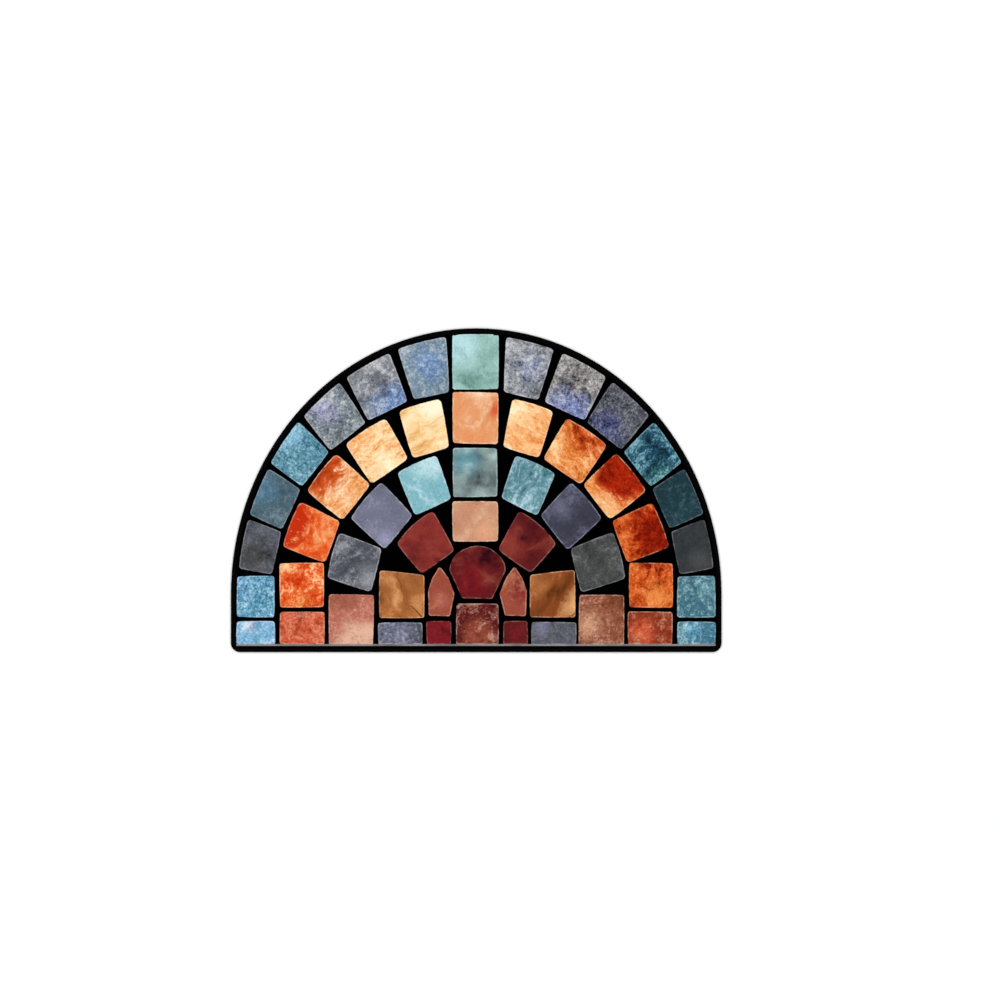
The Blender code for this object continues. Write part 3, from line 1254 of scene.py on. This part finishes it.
def stand_tufts(name, points, sizes, seed, pitch, material):
    """A piece of pile: tufts stood on these points by Geometry Nodes, made a plain mesh."""
    base = FACE_HIGH.z - sizes.tuft_height * (1 + TUFT_SIZE_CHANGE)
    rooted = bpy.data.meshes.new(name + "_roots")
    rooted.from_pydata([(x, y, base) for x, y in points], [], [])
    roots = bpy.data.objects.new(name + "_roots", rooted)
    bpy.context.scene.collection.objects.link(roots)
    modifier = roots.modifiers.new("tufts", "NODES")
    modifier.node_group = shared_group(pile_tufts_tree, "Pile Tufts")
    values = {
        "Tuft Width": pitch * sizes.tuft_width,
        "Tuft Height": sizes.tuft_height,
        "Spread": sizes.tuft_spread,
        "Lean": sizes.tuft_lean,
        "Seed": seed,
        "Material": material,
    }
    set_inputs(modifier, values)
    depsgraph = bpy.context.evaluated_depsgraph_get()
    mesh = bpy.data.meshes.new_from_object(roots.evaluated_get(depsgraph))
    mesh.name = name
    roots.modifiers.remove(modifier)
    bpy.data.objects.remove(roots)
    bpy.data.meshes.remove(rooted)
    piece = bpy.data.objects.new(name, mesh)
    bpy.context.scene.collection.objects.link(piece)
    return piece


def vertex_places(mesh):
    """The vertices' places, one row each."""
    places = np.empty(len(mesh.vertices) * 3, np.float32)
    mesh.vertices.foreach_get("co", places)
    return places.reshape(-1, 3)


def map_from_above(mesh):
    """A UV map that looks straight down on the piece, for baking its print."""
    places = vertex_places(mesh)[:, :2]
    low = places.min(axis=0)
    size = places.max(axis=0) - low
    corners = np.empty(len(mesh.loops), np.int32)
    mesh.loops.foreach_get("vertex_index", corners)
    layer = mesh.uv_layers.new(name="OFBake")
    layer.uv.foreach_set("vector", ((places - low) / size)[corners].astype(np.float32).ravel())


def write_stone_place(mesh, stone):
    """Give each vertex its place in the block, across and up, and its distance in from the edge."""
    points = vertex_places(mesh)[:, :2].astype(float)
    across = (points - stone.centre) / stone.reach
    values = np.column_stack([across, stone_distance(points, stone)])
    attribute = mesh.attributes.new("stone_place", "FLOAT_VECTOR", "POINT")
    attribute.data.foreach_set("vector", values.astype(np.float32).ravel())


def as_piece(piece):
    """A finished piece rides with the mat."""
    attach(piece, "root")
    return piece


def tuft_pitch(sizes):
    return sizes.tuft_pitch * 1


class DOORMAT_OT_rubber_backing(bpy.types.Operator):
    """Finish the moulded rubber backing, whose bare edge is the rim"""

    bl_idname = "doormat.rubber_backing"
    bl_label = "Rubber Backing"

    def execute(self, context):
        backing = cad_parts["rubber_backing"]
        backing.data.materials.clear()
        backing.data.materials.append(rubber_material(context.scene))
        return {"FINISHED"}


class DOORMAT_OT_pile(bpy.types.Operator):
    """Stand the pile's tufts: one piece for each printed block, and one for the black joints"""

    bl_idname = "doormat.pile"
    bl_label = "Printed Pile"

    def execute(self, context):
        scene = context.scene
        sizes = scene.doormat_sizes
        pitch = tuft_pitch(sizes)
        stones = lay_out_stones(sizes)
        points = tuft_places(pitch)
        owner = share_out(points, stones)
        for number, stone in enumerate(stones):
            name = "pile_" + stone.finish
            material = bpy.data.materials.get(name) or stone_material(scene, stone.finish)
            seed = sizes.seed + number * SEED_STEP
            own = points[owner == number]
            piece = stand_tufts("pile_" + stone.name, own, sizes, seed, pitch, material)
            write_stone_place(piece.data, stone)
            map_from_above(piece.data)
            as_piece(piece)
        own = points[owner == -1]
        seed = sizes.seed + len(stones) * SEED_STEP
        piece = stand_tufts("pile_joints", own, sizes, seed, pitch, joint_material(scene))
        map_from_above(piece.data)
        as_piece(piece)
        return {"FINISHED"}


class DOORMAT_OT_face_cloth(bpy.types.Operator):
    """Make the cloth that the pile stands on, cut half-round and laid on the rubber"""

    bl_idname = "doormat.face_cloth"
    bl_label = "Face Cloth"

    def execute(self, context):
        scene = context.scene
        sizes = scene.doormat_sizes
        outline = outline_points(RIM_WIDTH)
        top = FACE_HIGH.z - sizes.tuft_height * (1 + TUFT_SIZE_CHANGE) + TUFT_SUNK
        sheet = bmesh.new()
        face = sheet.faces.new([sheet.verts.new((x, y, FACE_LOW.z)) for x, y in outline])
        raised = bmesh.ops.extrude_face_region(sheet, geom=[face])
        lifted = [item for item in raised["geom"] if isinstance(item, bmesh.types.BMVert)]
        bmesh.ops.translate(sheet, verts=lifted, vec=Vector((0, 0, top - FACE_LOW.z)))
        bmesh.ops.recalc_face_normals(sheet, faces=sheet.faces)
        rims = [edge for edge in sheet.edges if edge.verts[0].co.z == edge.verts[1].co.z]
        bmesh.ops.bevel(
            sheet,
            geom=rims,
            offset=CLOTH_EDGE,
            segments=CLOTH_EDGE_STEPS,
            profile=0.5,
            affect="EDGES",
        )
        mesh = bpy.data.meshes.new("face_cloth")
        sheet.to_mesh(mesh)
        sheet.free()
        mesh.materials.append(bpy.data.materials.get("pile_joint") or joint_material(scene))
        cloth = bpy.data.objects.new("face_cloth", mesh)
        scene.collection.objects.link(cloth)
        as_piece(cloth)
        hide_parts("pile_face")
        return {"FINISHED"}


class DOORMAT_OT_stage(bpy.types.Operator):
    """Lay a plain pale floor, light it softly and look straight down as the photograph does"""

    bl_idname = "doormat.stage"
    bl_label = "Stage"

    FLOOR_SIZE = 12.0
    FLOOR_ROUGHNESS = 0.9
    FLOOR_SHINE = 0.1
    SKY = 0.347
    LAMP_SIZE = 2.4
    LAMP_HEIGHT = 2.6
    LAMP_AWAY = 3.0
    LAMP_WATTS = (65, 52, 48, 52)
    FIRST_LAMP = 135                       # degrees round from +X
    CAMERA_FAR = 100

    def execute(self, context):
        scene = context.scene
        self.lay_floor(scene)
        self.hang_lamps(scene)
        self.aim_camera(scene)
        return {"FINISHED"}

    def lay_floor(self, scene):
        half = self.FLOOR_SIZE / 2
        mesh = bpy.data.meshes.new("floor")
        corners = [(-half, -half, 0), (half, -half, 0), (half, half, 0), (-half, half, 0)]
        mesh.from_pydata(corners, [], [(0, 1, 2, 3)])
        material = bpy.data.materials.new("plain_floor")
        material.use_nodes = True
        shader = material.node_tree.nodes["Principled BSDF"]
        shader.inputs["Base Color"].default_value = opaque(scene.doormat_colours.floor)
        shader.inputs["Roughness"].default_value = self.FLOOR_ROUGHNESS
        shader.inputs["Specular IOR Level"].default_value = self.FLOOR_SHINE
        mesh.materials.append(material)
        floor = bpy.data.objects.new("floor", mesh)
        scene.collection.objects.link(floor)

    def hang_lamps(self, scene):
        """Four soft square lamps round the mat, aimed at it, the first beyond the arch at the left."""
        world = bpy.data.worlds.new("pale_room")
        world.use_nodes = True
        sky = world.node_tree.nodes["Background"]
        sky.inputs["Color"].default_value = (1, 1, 1, 1)
        sky.inputs["Strength"].default_value = self.SKY
        scene.world = world
        for number, watts in enumerate(self.LAMP_WATTS):
            angle = radians(self.FIRST_LAMP - 90 * number)
            place = Vector((self.LAMP_AWAY * cos(angle), self.LAMP_AWAY * sin(angle), self.LAMP_HEIGHT))
            data = bpy.data.lights.new(f"soft_lamp_{number + 1}", "AREA")
            data.energy = watts
            data.size = self.LAMP_SIZE
            lamp = bpy.data.objects.new(data.name, data)
            lamp.location = place
            lamp.rotation_euler = (-place).to_track_quat("-Z", "Y").to_euler()
            scene.collection.objects.link(lamp)

    def aim_camera(self, scene):
        """Straight above, with the mat where the photograph has it."""
        metres = 2 * HALF_WIDTH / PHOTO_MAT_WIDTH
        aside = (PHOTO_SIDE / 2 - PHOTO_MAT_CENTRE[0]) * metres
        along = (PHOTO_MAT_CENTRE[1] - PHOTO_SIDE / 2) * metres
        away = PHOTO_SIDE * metres * LENS / SENSOR
        data = bpy.data.cameras.new("camera")
        data.lens = LENS
        data.sensor_width = SENSOR
        data.clip_end = self.CAMERA_FAR
        camera = bpy.data.objects.new("camera", data)
        camera.location = (aside, along, RUBBER_HIGH.z + away)
        scene.collection.objects.link(camera)
        scene.camera = camera
        scene.view_settings.view_transform = "Standard"


class DOORMAT_PT_panel(bpy.types.Panel):
    """Lists the mat's sizes, its colours and the steps that make it"""

    bl_idname = "DOORMAT_PT_panel"
    bl_label = "Doormat"
    bl_space_type = "VIEW_3D"
    bl_region_type = "UI"
    bl_category = "Doormat"

    def draw(self, context):
        scene = context.scene
        for group in (scene.doormat_sizes, scene.doormat_colours):
            column = self.layout.column()
            for name in group.bl_rna.properties.keys():
                if name not in ("rna_type", "name"):
                    column.prop(group, name)
        for dye in scene.doormat_dyes:
            self.layout.prop(dye, "colour", text=dye.name)
        for operator in OPERATORS:
            self.layout.operator(operator.bl_idname)


OPERATORS = (
    DOORMAT_OT_rubber_backing,
    DOORMAT_OT_pile,
    DOORMAT_OT_face_cloth,
    DOORMAT_OT_stage,
)
CLASSES = (DoormatSizes, DoormatColours, DoormatDye, *OPERATORS, DOORMAT_PT_panel)


def register():
    for made in CLASSES:
        bpy.utils.register_class(made)
    bpy.types.Scene.doormat_sizes = PointerProperty(type=DoormatSizes)
    bpy.types.Scene.doormat_colours = PointerProperty(type=DoormatColours)
    bpy.types.Scene.doormat_dyes = CollectionProperty(type=DoormatDye)


def unregister():
    del bpy.types.Scene.doormat_dyes
    del bpy.types.Scene.doormat_colours
    del bpy.types.Scene.doormat_sizes
    for made in reversed(CLASSES):
        bpy.utils.unregister_class(made)


def mix_dyes(scene):
    """Put the print's dyes in the scene, where they can be changed."""
    for name, colour in DYES.items():
        dye = scene.doormat_dyes.add()
        dye.name = name
        dye.colour = colour


def main():
    register()
    mix_dyes(bpy.context.scene)
    bpy.ops.doormat.rubber_backing()
    bpy.ops.doormat.pile()
    bpy.ops.doormat.face_cloth()
    bpy.ops.doormat.stage()


if __name__ == "__main__":
    main()
